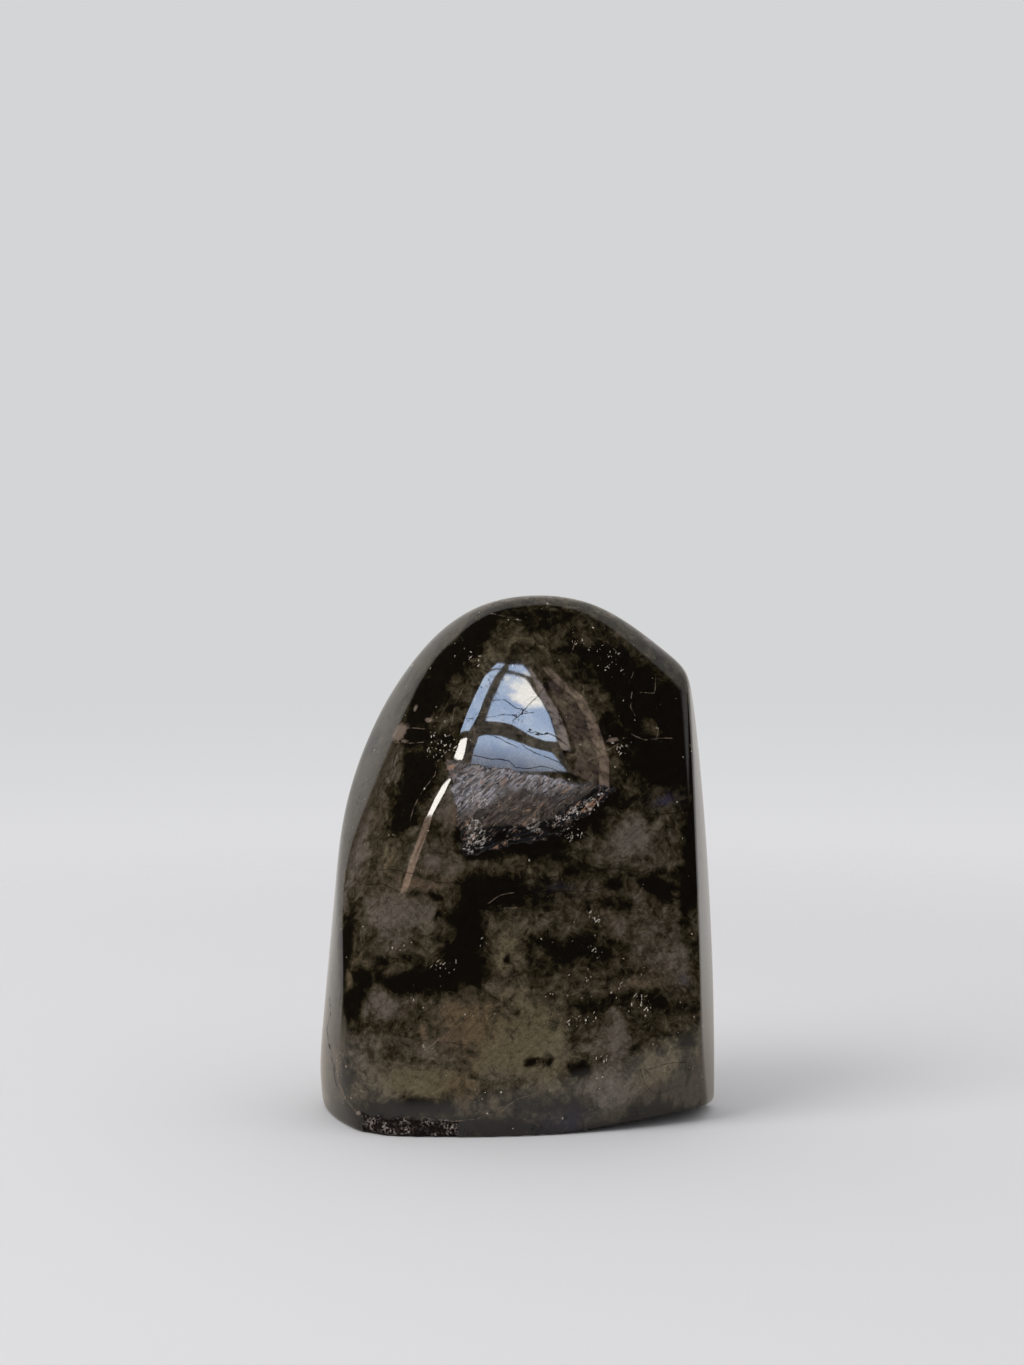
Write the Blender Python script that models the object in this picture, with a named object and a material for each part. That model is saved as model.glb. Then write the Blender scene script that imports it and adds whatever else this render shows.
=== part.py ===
"""Polished labradorite freeform: one solid stone, ground all round into soft facets, on a flat sawn base."""

from math import cos, pi, radians, sin, tan

import bmesh
import bpy
import numpy as np
from mathutils import Vector, noise

NAME = "labradorite_stone"
MM = 0.001

HEIGHT = 75.0          # base to crown; the sizes below are drawn for 75 mm, and all of them follow it
CORE = (0.0, 0.0, 34.0)  # the mesh is laid out round this point inside the stone
GRID = 26              # rows of quads along each side of the six patches that wrap the stone

# The flat cuts below: a point on each and the azimuth and elevation that it looks towards. The heel lifts
# the right end of the front edge off the table.
HEEL = ((17, -7, 0), -47, -76)
BASE = ((0, 0, 0), 0, -90)
CUT_BEVEL = 0.6        # their edges, rubbed down all round
SNAP = 0.3             # corners of the mesh this near a cut are moved onto it
MOST_CORNERS = 8       # a face with more corners than this is a cut, not one of the grid

# The ground faces: name, a point on the face, the azimuth and elevation that it looks towards in degrees,
# its crown radius across and up the face, and how softly it is polished over into the faces before it.
FACES = (
    ("front", (-6, -17.9, 6), -89, 6, 95, 900, 0),
    ("front_top", (1, -10.5, 55), -82, 22, 80, 130, 2.5),
    ("front_left", (-11, -10.7, 52), -127, 21.5, 110, 400, 2),
    ("front_right", (17.2, -6.6, 56), -64, 17.5, 80, 460, 2),
    ("foot_left", (-23.9, -13.3, 3), -149, -11.4, 38, 330, 5),
    ("foot_right", (18.2, -13.4, 2), -65, -14.3, 73, 480, 4),
    ("left", (-28.0, -2, 14), -174, 5.3, 38, 10000, 2.2),
    ("left_upper", (-20.8, -1.1, 50.1), -154, 23, 83, 5000, 2),
    ("left_shoulder", (-11.6, -1.4, 67.3), -152, 43.3, 31, 62, 5),
    ("right", (28.2, -2.1, 14), -12, 2.3, 90, 560, 1),
    ("right_slope", (17.7, -1.6, 67.7), -30, 49.7, 42, 2100, 2.5),
    ("top", (3.5, -1.8, 74.5), -92, 80, 38, 20, 4),
    ("back", (0, 19.3, 12), 92, 4, 68, 1200, 6),
    ("back_top", (0, 14.6, 60), 92, 24, 60, 90, 8),
    ("back_left", (-24.5, 10.1, 14), 139, 1.3, 60, 440, 4),
    ("back_right", (24.4, 8.1, 14), 41, -4.3, 56, 440, 3),
)

# The cleavage scar left on the front, seen square on: corners (x, z), all running one way round.
SCAR = ((-9.3, 51.2), (-6.9, 39.3), (5.5, 42.0), (13.0, 47.3))
SCAR_DEPTH = 0.55
SCAR_LIP = 1.0         # the width over which its edge drops
SCAR_WAVER = 0.4       # how far the edge wanders either side of the outline
LEDGE_PITCH = 2.6      # from one cleavage ledge to the next
LEDGE_RISE = 0.25
LEDGE_SLOPE = 32.0     # the ledges climb to the right at this angle

# The rough strip along the foot of the front that was never polished.
FOOT_PATCH = ((-22.0, 3.2), (-22.0, -1.0), (-8.0, -1.0), (-8.0, 2.6))
FOOT_PATCH_DEPTH = 0.3
FOOT_PATCH_ROUGH = 0.6  # the share of that depth by which it rises and falls
FOOT_PATCH_PITCH = 1.2  # from one hump of it to the next


def directions(azimuth, elevation):
    """The way a face looks, and the two directions that lie along it: across and up."""
    a, e = radians(azimuth), radians(elevation)
    out = np.array((cos(a) * cos(e), sin(a) * cos(e), sin(e)))
    across = np.array((-sin(a), cos(a), 0.0))
    return out, across, np.cross(out, across)


def soft_max(a, b, width):
    """The larger of two heights, rounded over where they are within width of each other."""
    if width == 0:
        return np.maximum(a, b)
    near = np.maximum(width - np.abs(a - b), 0) / width
    return np.maximum(a, b) + near**3 * width / 6


def within(outline, x, z):
    """How far inside a convex outline each point lies, negative outside it."""
    inside = np.full(x.shape, np.inf)
    for (x0, z0), (x1, z1) in zip(outline, outline[1:] + outline[:1]):
        length = np.hypot(x1 - x0, z1 - z0)
        inside = np.minimum(inside, ((x1 - x0) * (z - z0) - (z1 - z0) * (x - x0)) / length)
    return inside


def ramp(t):
    t = np.clip(t, 0, 1)
    return t * t * (3 - 2 * t)


def waver(points, pitch):
    """A smooth random height from -1 to 1 at each point, with hills about this far apart."""
    return np.array([noise.noise(Vector(point) / pitch) for point in points])


def recess(points):
    """How deep the unpolished places lie below the ground faces."""
    x, y, z = points.T
    scar = ramp((within(SCAR, x, z) + SCAR_WAVER * waver(points, LEDGE_PITCH)) / SCAR_LIP)
    slope = radians(LEDGE_SLOPE)
    step = (z * cos(slope) - x * sin(slope)) / LEDGE_PITCH
    ledges = LEDGE_RISE * (step - np.floor(step))
    foot = ramp(within(FOOT_PATCH, x, z) / SCAR_LIP)
    rough = 1 + FOOT_PATCH_ROUGH * waver(points, FOOT_PATCH_PITCH)
    return (y < 0) * (scar * (SCAR_DEPTH - ledges) + foot * FOOT_PATCH_DEPTH * rough)


def outside(points):
    """How far each point lies outside the stone, in millimetres, negative inside it."""
    height = None
    for _, at, azimuth, elevation, radius_across, radius_up, softness in FACES:
        out, across, up = directions(azimuth, elevation)
        away = points - np.array(at, float)
        this = away @ out + (away @ across) ** 2 / (2 * radius_across) + (away @ up) ** 2 / (2 * radius_up)
        height = this if height is None else soft_max(height, this, softness)
    return height


def place(mesh):
    """Moves every vertex along its own ray from the core onto the surface of the stone."""
    core = np.array(CORE)
    ray = np.array([vertex.co[:] for vertex in mesh.verts]) - core
    ray /= np.linalg.norm(ray, axis=1)[:, None]
    near, far = np.full(len(ray), 1.0), np.full(len(ray), 70.0)
    for _ in range(40):
        middle = (near + far) / 2
        beyond = outside(core + ray * middle[:, None]) > 0
        near, far = np.where(beyond, near, middle), np.where(beyond, middle, far)
    surface = core + ray * near[:, None]
    surface -= ray * recess(surface)[:, None]
    for vertex, where in zip(mesh.verts, surface):
        vertex.co = where


def wrapped_grid():
    """Six grids of quads folded round the core, evenly spaced in angle."""
    mesh = bmesh.new()
    bmesh.ops.create_cube(mesh, size=2)
    bmesh.ops.subdivide_edges(mesh, edges=mesh.edges, cuts=GRID - 1, use_grid_fill=True)
    for vertex in mesh.verts:
        vertex.co = Vector(tan(pi / 4 * c) for c in vertex.co) + Vector(CORE)
    return mesh


def finer_round_scar(mesh):
    """Halves the quads round the scar, where the ledges are finer than the grid."""
    xs, zs = zip(*SCAR)
    near = [
        edge
        for edge in mesh.edges
        if all(
            v.co.y < 0 and min(xs) - 2 < v.co.x < max(xs) + 2 and min(zs) - 2 < v.co.z < max(zs) + 2
            for v in edge.verts
        )
    ]
    bmesh.ops.subdivide_edges(mesh, edges=near, cuts=1, use_grid_fill=True)


def cut_flat(mesh, at, azimuth, elevation):
    """Cuts off what lies beyond a plane and closes the stone with one flat face."""
    bmesh.ops.bisect_plane(
        mesh,
        geom=mesh.verts[:] + mesh.edges[:] + mesh.faces[:],
        dist=SNAP,
        plane_co=at,
        plane_no=directions(azimuth, elevation)[0],
        use_snap_center=True,
        clear_outer=True,
    )
    bmesh.ops.holes_fill(mesh, edges=[edge for edge in mesh.edges if edge.is_boundary])


def sawn_below(mesh):
    """Saws the heel and the base flat and rubs down the edges of the two cuts."""
    cut_flat(mesh, *HEEL)
    cut_flat(mesh, *BASE)
    cuts = [face for face in mesh.faces if len(face.verts) > MOST_CORNERS]
    rim = [e for face in cuts for e in face.edges if not all(other in cuts for other in e.link_faces)]
    bmesh.ops.bevel(mesh, geom=rim, offset=CUT_BEVEL, segments=2, profile=0.5, affect="EDGES")


def to_size(mesh):
    """Stands the stone on the origin, centred, at its full height."""
    points = np.array([vertex.co[:] for vertex in mesh.verts])
    low, high = points.min(axis=0), points.max(axis=0)
    foot = Vector(((low[0] + high[0]) / 2, (low[1] + high[1]) / 2, low[2]))
    scale = HEIGHT / (high[2] - low[2])
    for vertex in mesh.verts:
        vertex.co = (vertex.co - foot) * scale * MM


def main():
    for old in list(bpy.data.objects):
        bpy.data.objects.remove(old)
    mesh = wrapped_grid()
    place(mesh)
    finer_round_scar(mesh)
    place(mesh)
    sawn_below(mesh)
    to_size(mesh)
    bmesh.ops.triangulate(mesh, faces=mesh.faces[:], quad_method="BEAUTY")
    bmesh.ops.recalc_face_normals(mesh, faces=mesh.faces[:])
    data = bpy.data.meshes.new(NAME)
    mesh.to_mesh(data)
    mesh.free()
    bpy.context.scene.collection.objects.link(bpy.data.objects.new(NAME, data))


main()
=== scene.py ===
"""Polished labradorite freeform: the fine surface of the stone, its material, floor, light and camera."""

from math import cos, pi, radians, sin, tan

import bmesh
import bpy
import numpy as np
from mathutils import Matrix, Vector, noise


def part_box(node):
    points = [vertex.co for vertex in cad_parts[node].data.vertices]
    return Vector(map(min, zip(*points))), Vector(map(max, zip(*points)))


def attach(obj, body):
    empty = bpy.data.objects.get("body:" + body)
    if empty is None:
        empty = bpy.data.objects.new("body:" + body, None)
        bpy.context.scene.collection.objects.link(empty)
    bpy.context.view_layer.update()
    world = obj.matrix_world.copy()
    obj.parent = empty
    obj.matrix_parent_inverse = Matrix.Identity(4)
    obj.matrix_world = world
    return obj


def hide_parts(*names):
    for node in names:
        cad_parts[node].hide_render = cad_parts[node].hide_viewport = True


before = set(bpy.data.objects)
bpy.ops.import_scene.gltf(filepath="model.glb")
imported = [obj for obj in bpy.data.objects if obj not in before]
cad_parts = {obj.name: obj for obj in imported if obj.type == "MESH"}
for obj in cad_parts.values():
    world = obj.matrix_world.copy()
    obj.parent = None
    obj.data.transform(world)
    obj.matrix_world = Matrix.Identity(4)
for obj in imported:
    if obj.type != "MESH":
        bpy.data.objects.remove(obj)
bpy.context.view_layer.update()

NODE = "labradorite_stone"
MM = 0.001

# The stone is drawn in millimetres, as the CAD part is, and then moved into the CAD part's box.
CORE = (0.0, 0.0, 34.0)
GRID = 84              # rows of quads along each side of the six patches that wrap the stone
FINE = 0.42            # an edge of the front longer than this is halved
FINEST = 0.24          # and one on the scar or the foot patch longer than this
FRONT_ENDS = 1         # the front is what lies before this y
UNPOLISHED_ENDS = -3   # and its rough places before this one
MARGIN = 1             # the finest mesh goes on this far round them
NEAREST, FARTHEST = 1.0, 70.0  # the surface is looked for between these distances from the core
HALVINGS = 30
FLAT = 1e6             # the crown radius of a face that is a plain cut

# The ground faces and the two cuts: name, a point on the face, the azimuth and elevation that it looks
# towards in degrees, its crown radius across and up, and how softly it runs into those before it.
FACES = (
    ("front", (-6, -17.9, 6), -89, 6, 95, 900, 0),
    ("front_top", (1, -10.5, 55), -82, 22, 80, 130, 2.5),
    ("front_left", (-11, -10.7, 52), -127, 21.5, 110, 400, 2),
    ("front_right", (17.2, -6.6, 56), -64, 17.5, 80, 460, 2),
    ("foot_left", (-23.9, -13.3, 3), -149, -11.4, 38, 330, 5),
    ("foot_right", (18.2, -13.4, 2), -65, -14.3, 73, 480, 4),
    ("left", (-28.0, -2, 14), -174, 5.3, 38, 10000, 2.2),
    ("left_upper", (-20.8, -1.1, 50.1), -154, 23, 83, 5000, 2),
    ("left_shoulder", (-11.6, -1.4, 67.3), -152, 43.3, 31, 62, 5),
    ("right", (28.2, -2.1, 14), -12, 2.3, 90, 560, 1),
    ("right_slope", (17.7, -1.6, 67.7), -30, 49.7, 42, 2100, 2.5),
    ("top", (3.5, -1.8, 74.5), -92, 80, 38, 20, 4),
    ("back", (0, 19.3, 12), 92, 4, 68, 1200, 6),
    ("back_top", (0, 14.6, 60), 92, 24, 60, 90, 8),
    ("back_left", (-24.5, 10.1, 14), 139, 1.3, 60, 440, 4),
    ("back_right", (24.4, 8.1, 14), 41, -4.3, 56, 440, 3),
    ("heel", (17, -7, 0), -47, -76, FLAT, FLAT, 1.6),
    ("base", (0, 0, 0), 0, -90, FLAT, FLAT, 0.6),
)

# The faces that are smokier than the rest, with their streaks upright. That look comes in over this
# difference in height from the other faces, in millimetres, of which this share lies before the edge.
SIDES = ("left", "left_upper", "left_shoulder", "right_slope", "top", "foot_right", "right")
SIDE_BLEND = 0.9
SIDE_START = 0.35

# The cleavage scar on the front, seen square on: its corners (x, z), counter-clockwise.
SCAR = ((-9.3, 51.2), (-6.9, 39.3), (5.5, 42.0), (13.0, 47.3))
SCAR_DEPTH = 0.55
SCAR_LIP = 1.0         # the width over which its edge drops
SCAR_WAVER = 0.4       # how far the edge wanders either side of the outline
SCAR_REACH = 4         # how far in and out of the outline the material is told of
LEDGE_PITCH = 2.6      # from one cleavage ledge to the next
LEDGE_RISE = 0.25
LEDGE_SLOPE = 32.0     # the ledges climb to the right at this angle
STROKE_SLOPE = 42.0    # and the finer strokes on them at this one

# The rough strip along the foot of the front that was never polished.
FOOT_PATCH = ((-22.0, 3.2), (-22.0, -1.0), (-8.0, -1.0), (-8.0, 2.6))
FOOT_PATCH_DEPTH = 0.3
FOOT_PATCH_ROUGH = 0.6  # the share of that depth by which it rises and falls
FOOT_PATCH_PITCH = 1.2  # from one hump of it to the next
FOOT_PATCH_WAVER = 0.6  # how far its look wanders either side of the outline

# The camera, in the same millimetres, and its picture in pixels.
CAMERA_AT = (-0.8, -345.0, 86.0)
CAMERA_DOWN = 4.0
PICTURE = (1024, 1365)
FOCAL = 2400.0

# The marks below wander from their places, by so many pixels over so many millimetres, coarsely and finely.
WANDER, WANDER_PITCH = 6, 5.0
SHIVER, SHIVER_PITCH = 2.5, 1.4
LINE_WANDER = 0.3      # the share of that by which the lines and chips do
MARKS_END, MARKS_BLEND = 3.0, 5.0  # they are gone behind this y, and fade out over this far before it
FAR_OFF = 30           # pixels beyond which a line no longer counts

# Marks on the front, placed where the camera sees them. Each is an ellipse: its centre, half length and
# half width in pixels, the angle that it climbs to the right, and how strong it is.
BLACK = (
    (462, 650, 50, 10, 52, 1), (424, 700, 26, 12, 58, 1), (458, 667, 9, 6, 0, 0.8),
    (414, 737, 14, 10, 0, 0.9), (405, 812, 26, 10, 70, 1), (416, 785, 38, 12, 60, 0.9),
    (476, 851, 22, 7, -5, 1), (458, 834, 6, 13, 0, 0.9), (505, 839, 34, 10, 4, 1),
    (400, 770, 30, 14, 60, 0.5), (600, 655, 28, 13, -20, 1), (635, 685, 46, 18, -38, 1),
    (655, 715, 38, 32, 0, 1), (662, 762, 32, 24, 0, 1), (620, 720, 20, 30, 20, 0.6),
    (587, 810, 33, 11, 28, 1), (561, 832, 30, 12, 18, 1), (536, 844, 28, 10, 5, 1),
    (692, 835, 50, 6, 90, 1), (688, 890, 28, 9, 80, 0.9), (560, 862, 36, 8, -8, 0.5),
    (492, 894, 35, 17, 14, 1), (468, 922, 18, 16, 0, 0.9), (461, 955, 18, 24, 0, 1),
    (447, 977, 32, 12, 0, 1), (402, 983, 30, 7, 0, 0.8), (352, 1005, 10, 15, 0, 1.2),
    (362, 979, 16, 8, -35, 0.9), (655, 874, 36, 4, 2, 0.3), (574, 949, 32, 11, -6, 0.7),
    (543, 942, 18, 9, 0, 0.6), (652, 889, 14, 7, -25, 1.2), (612, 884, 6, 4, 20, 1.1),
    (532, 1063, 7, 4, 15, 1.2), (546, 1062, 4, 3, 0, 1.1), (577, 1070, 10, 6, -10, 1.1),
    (434, 894, 6, 4, 10, 1.1), (439, 916, 3, 7, -20, 1.1), (505, 957, 3, 3, 0, 1),
    (398, 1110, 34, 8, 0, 1.2), (606, 1001, 30, 8, 8, 0.5), (600, 1022, 10, 14, 0, 0.4),
    (634, 1035, 8, 24, -12, 0.3), (655, 1000, 32, 8, -14, 0.45), (520, 618, 64, 10, 0, 0.35),
    # The three marks on the next row darken the stone along its bottom edge and heel: painted shade where
    # it meets the table.
    (520, 1128, 100, 9, 0, 0.7), (350, 1122, 22, 12, -30, 0.9), (650, 1116, 44, 9, 10, 0.8),
    (400, 960, 32, 6, 0, 0.35), (620, 906, 34, 7, 0, 0.4), (555, 1106, 30, 9, 0, 0.6),
    (347, 950, 40, 5, 84, 1), (684, 1055, 26, 7, 90, 0.5), (346, 1077, 14, 7, 90, 0.6),
)
GREY = (
    (405, 915, 40, 25, 0, 0.85), (385, 1003, 26, 13, 10, 0.8), (452, 857, 36, 18, 10, 0.7),
    (622, 843, 30, 22, 20, 0.8), (650, 930, 42, 26, 0, 0.35), (668, 950, 22, 26, 0, 0.45),
    (362, 1052, 22, 32, 30, 0.4), (612, 1037, 22, 28, 8, 0.7), (608, 1092, 32, 18, -8, 0.85),
    (566, 990, 30, 10, 0, 0.15), (566, 915, 40, 14, 0, 0.35), (356, 858, 8, 54, -13, 1),
    (410, 856, 9, 26, -15, 0.5), (430, 1053, 32, 12, 0, 0.7), (449, 804, 28, 10, 68, 0.65),
    (614, 848, 16, 26, 0, 0.7), (634, 890, 16, 10, 0, 0.5), (678, 925, 6, 26, 0, 0.9),
    (590, 1050, 34, 9, 0, 0.5), (490, 985, 20, 12, 0, 0.6), (505, 1080, 34, 10, 0, 0.6),
    (385, 775, 40, 10, 62, 0.9), (362, 830, 40, 9, 72, 0.8),
)
OLIVE = (
    (537, 1050, 32, 36, 0, 1.1), (497, 1055, 26, 36, 0, 0.9), (420, 1083, 54, 20, 0, 0.85),
    (661, 1070, 26, 19, 25, 0.9), (364, 950, 18, 26, 0, 0.25), (434, 945, 22, 17, 0, 0.35),
    (389, 850, 17, 24, 0, 0.5), (521, 646, 40, 14, 0, 0.1), (600, 697, 13, 22, 0, 0.35),
    (625, 775, 20, 22, 0, 0.3), (665, 822, 24, 8, 10, 0.1), (505, 952, 22, 30, 0, 0.6),
    (515, 868, 50, 10, 8, 0.35), (470, 1092, 60, 12, 0, 0.5), (512, 1003, 16, 14, 0, 0.6),
    (570, 1048, 16, 10, 0, 0.4), (500, 1078, 30, 11, 0, 0.8),
)
BROWN = (
    (467, 1023, 28, 30, 0, 0.75), (461, 1093, 16, 24, 0, 0.5), (397, 968, 24, 10, 0, 0.25),
    (386, 817, 10, 9, 0, 0.5), (347, 982, 6, 19, -10, 1.2), (392, 858, 8, 12, 0, 0.3),
    (417, 883, 21, 9, 0, 0.8), (640, 985, 16, 9, 0, 0.5), (651, 726, 9, 13, 15, 1.5),
    (588, 645, 8, 10, 0, 1), (455, 810, 8, 4, 60, 1), (600, 912, 16, 8, 0, 0.4),
    (655, 1090, 9, 9, 0, 0.6),
)
# Where a painted blue sheen, the flash of labradorescence, is put into the colour.
FLASH = (
    (666, 801, 7, 3, 15, 0.6), (682, 980, 4, 4, 0, 0.5), (560, 885, 10, 3, 0, 0.25),
    (566, 1120, 24, 9, 8, 0.35),
)
# Where the scar keeps more gloss, and where a reflection of the window is painted onto it.
SCAR_LIT = (
    (474, 786, 30, 20, 10, 1.2), (520, 777, 60, 12, -8, 1.1), (540, 795, 40, 12, 0, 0.3),
)
# Where painted glints gather: bright specks put into the colour where light would catch the cleavage.
GLINTS = (
    (592, 918, 14, 8, -25, 1), (572, 943, 4, 4, 0, 1), (592, 952, 14, 4, -5, 1), (619, 965, 6, 5, 0, 1),
    (586, 976, 3, 9, -15, 1), (546, 989, 8, 5, 0, 0.8), (575, 994, 22, 5, 0, 0.8),
    (622, 988, 8, 13, -30, 1), (641, 1005, 12, 10, 25, 1.3), (593, 1013, 5, 12, -15, 1),
    (579, 1020, 10, 5, 20, 1.3), (602, 1060, 10, 6, -10, 1.2), (431, 1043, 8, 6, 35, 1.1),
    (413, 998, 6, 5, 0, 0.9), (466, 1017, 8, 5, 0, 0.8), (497, 1018, 9, 6, 0, 0.8),
    (487, 1047, 8, 4, 0, 0.7), (481, 942, 5, 11, -10, 0.9), (445, 966, 24, 12, 0, 0.7),
    (600, 655, 50, 20, -30, 0.6), (441, 746, 18, 14, 0, 1.1), (440, 719, 10, 7, 0, 0.9),
    (460, 655, 10, 16, -40, 0.7), (474, 662, 9, 9, 0, 0.8), (626, 748, 10, 6, 30, 1),
    (474, 834, 10, 15, 0, 1.8), (574, 835, 9, 6, 0, 1.8), (572, 815, 44, 7, 27, 1.2),
    (536, 828, 16, 7, 10, 1.0), (480, 800, 20, 20, 0, 0.8),
)
CHIPS = (
    (429, 719, 5, 2.5, 0, 1), (400, 732, 10, 6, 55, 1.1), (380, 738, 9, 4, 65, 1),
    (381, 731, 3, 3, 0, 1.2), (405, 741, 6, 2, 0, 0.8), (416, 708, 2, 4, -30, 0.9),
    (613, 739, 6, 3, 0, 0.9), (358, 1112, 3, 2.5, 0, 0.9), (459, 806, 3, 9, 0, 0.6),
)

# The clouds, the painted blue sheen and the painted glints, with painted shade along the foot among the
# black marks: the marks for them on the front, and for the rest of the stone how far apart they are in
# millimetres, which part of the random field they come from, their mean strength and its swing.
CLOUDS = (
    ("black", BLACK, 9.0, 5, 0.3, 0.8),
    ("grey", GREY, 12.0, 6, 0.3, 0.8),
    ("olive", OLIVE, 13.0, 7, 0.3, 0.9),
    ("brown", BROWN, 9.0, 8, 0.1, 0.8),
    ("flash", FLASH, 8.0, 10, -0.3, 1.0),
    ("glint", GLINTS, 6.0, 9, 0.1, 0.9),
)
FIELD_STEP = (17.3, 5.1, 9.7)  # from one part of the random field to the next

# Lines on the front, in the same pixels.
PALE_CRACKS = (
    ((442, 1120), (455, 1122), (476, 1120), (484, 1116), (499, 1111), (519, 1100), (540, 1091),
     (561, 1079)),
    ((333, 1046), (335, 1064), (338, 1081), (346, 1098), (356, 1111)),
    ((379, 749), (374, 758), (371, 764)),
    ((633, 735), (644, 740), (655, 739), (670, 738)),
    ((657, 738), (658, 728)),
    ((603, 639), (611, 638)),
    ((605, 639), (612, 646), (619, 655)),
    ((572, 652), (576, 641)),
    ((653, 667), (655, 680), (655, 693), (641, 692)),
    ((632, 672), (629, 682)),
    ((631, 693), (630, 707), (635, 716)),
    ((583, 686), (583, 694)),
    ((554, 680), (546, 687)),
    ((657, 671), (667, 679)),
    ((690, 744), (694, 748), (699, 750)),
    ((396, 742), (410, 743), (422, 742)),
    ((410, 728), (425, 728)),
    ((440, 754), (453, 774), (462, 790), (465, 813)),
    ((588, 760), (599, 756), (618, 744), (623, 739)),
    ((490, 904), (500, 897), (512, 893)),
    ((488, 912), (500, 910), (517, 908)),
    ((426, 1049), (435, 1042), (437, 1038)),
    ((438, 760), (435, 774), (426, 786), (417, 799), (410, 822)),
    ((463, 690), (456, 704), (453, 722)),
    ((492, 613), (520, 621)),
)
DARK_VEINS = (
    ((515, 887), (545, 877), (575, 872), (610, 869), (640, 872), (690, 873)),
    ((520, 897), (545, 893), (570, 890), (592, 891), (610, 884)),
    ((368, 885), (380, 883), (394, 891)),
    ((379, 869), (400, 871), (412, 873), (437, 882), (461, 884)),
    ((397, 1036), (426, 1040), (448, 1042), (465, 1045)),
    ((405, 1053), (437, 1056)),
    ((354, 1020), (372, 1045), (390, 1065)),
    ((645, 1071), (671, 1062), (684, 1061)),
    ((585, 902), (610, 905), (635, 908)),
    ((645, 813), (663, 814), (681, 811), (690, 809)),
    ((640, 1069), (644, 1084), (655, 1095), (680, 1087)),
    ((547, 1020), (565, 1025), (580, 1022)),
    ((469, 719), (492, 717), (506, 715), (533, 713)),
    ((513, 721), (525, 709), (537, 695), (545, 686), (554, 678)),
    ((492, 699), (504, 700), (516, 708), (525, 709)),
    ((477, 732), (492, 736), (504, 743), (516, 747)),
    ((523, 745), (535, 753), (554, 760), (564, 765)),
    ((475, 755), (492, 760), (509, 761), (516, 768), (528, 769), (540, 766), (554, 770), (575, 778)),
    ((549, 733), (557, 736), (565, 743)),
    ((388, 726), (384, 736), (377, 747), (371, 760)),
    ((405, 742), (396, 752), (392, 765), (381, 783), (376, 800)),
    ((330, 1000), (328, 1030), (331, 1060), (337, 1085)),
    ((529, 732), (538, 735), (548, 734)),
    ((531, 730), (540, 733), (546, 735)),
)


def directions(azimuth, elevation):
    """The way a face looks, and the two directions that lie along it: across and up."""
    a, e = radians(azimuth), radians(elevation)
    out = np.array((cos(a) * cos(e), sin(a) * cos(e), sin(e)))
    across = np.array((-sin(a), cos(a), 0.0))
    return out, across, np.cross(out, across)


def soft_max(a, b, width):
    """The larger of two heights, rounded over where they are within width of each other."""
    if width == 0:
        return np.maximum(a, b)
    near = np.maximum(width - np.abs(a - b), 0) / width
    return np.maximum(a, b) + near**3 * width / 6


def within(outline, x, z):
    """How far inside a convex outline each point lies, negative outside it."""
    inside = np.full(x.shape, np.inf)
    for (x0, z0), (x1, z1) in zip(outline, outline[1:] + outline[:1]):
        length = np.hypot(x1 - x0, z1 - z0)
        inside = np.minimum(inside, ((x1 - x0) * (z - z0) - (z1 - z0) * (x - x0)) / length)
    return inside


def ramp(t):
    """0 below 0 and 1 above 1, smooth between them."""
    t = np.clip(t, 0, 1)
    return t * t * (3 - 2 * t)


def waver(points, pitch):
    """A smooth random height from -1 to 1 at each point, with hills about this far apart."""
    return np.array([noise.noise(Vector(point) / pitch) for point in points])


def seen_at(points):
    """The pixel at which the camera sees each point."""
    away = points - np.array(CAMERA_AT)
    pitch = radians(CAMERA_DOWN)
    ahead = away @ (0, cos(pitch), -sin(pitch))
    above = away @ (0, sin(pitch), cos(pitch))
    return PICTURE[0] / 2 + FOCAL * away[:, 0] / ahead, PICTURE[1] / 2 - FOCAL * above / ahead


def recess(points):
    """How deep the unpolished places lie below the ground faces."""
    x, y, z = points.T
    scar = ramp((within(SCAR, x, z) + SCAR_WAVER * waver(points, LEDGE_PITCH)) / SCAR_LIP)
    slope = radians(LEDGE_SLOPE)
    step = (z * cos(slope) - x * sin(slope)) / LEDGE_PITCH
    ledges = LEDGE_RISE * (step - np.floor(step))
    foot = ramp(within(FOOT_PATCH, x, z) / SCAR_LIP)
    rough = 1 + FOOT_PATCH_ROUGH * waver(points, FOOT_PATCH_PITCH)
    return (y < 0) * (scar * (SCAR_DEPTH - ledges) + foot * FOOT_PATCH_DEPTH * rough)


def beyond(points, face):
    """How far each point lies outside one ground face."""
    _, at, azimuth, elevation, radius_across, radius_up, _ = face
    out, across, up = directions(azimuth, elevation)
    away = points - np.array(at, float)
    return away @ out + (away @ across) ** 2 / (2 * radius_across) + (away @ up) ** 2 / (2 * radius_up)


def outside(points):
    """How far each point lies outside the stone, in millimetres, negative inside it."""
    height = beyond(points, FACES[0])
    for face in FACES[1:]:
        height = soft_max(height, beyond(points, face), face[-1])
    return height


def place(mesh):
    """Moves every vertex along its own ray from the core onto the surface of the stone."""
    core = np.array(CORE)
    ray = np.array([vertex.co[:] for vertex in mesh.verts]) - core
    ray /= np.linalg.norm(ray, axis=1)[:, None]
    near, far = np.full(len(ray), NEAREST), np.full(len(ray), FARTHEST)
    for _ in range(HALVINGS):
        middle = (near + far) / 2
        out = outside(core + ray * middle[:, None]) > 0
        near, far = np.where(out, near, middle), np.where(out, middle, far)
    surface = core + ray * near[:, None]
    surface -= ray * recess(surface)[:, None]
    for vertex, where in zip(mesh.verts, surface):
        vertex.co = where


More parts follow.
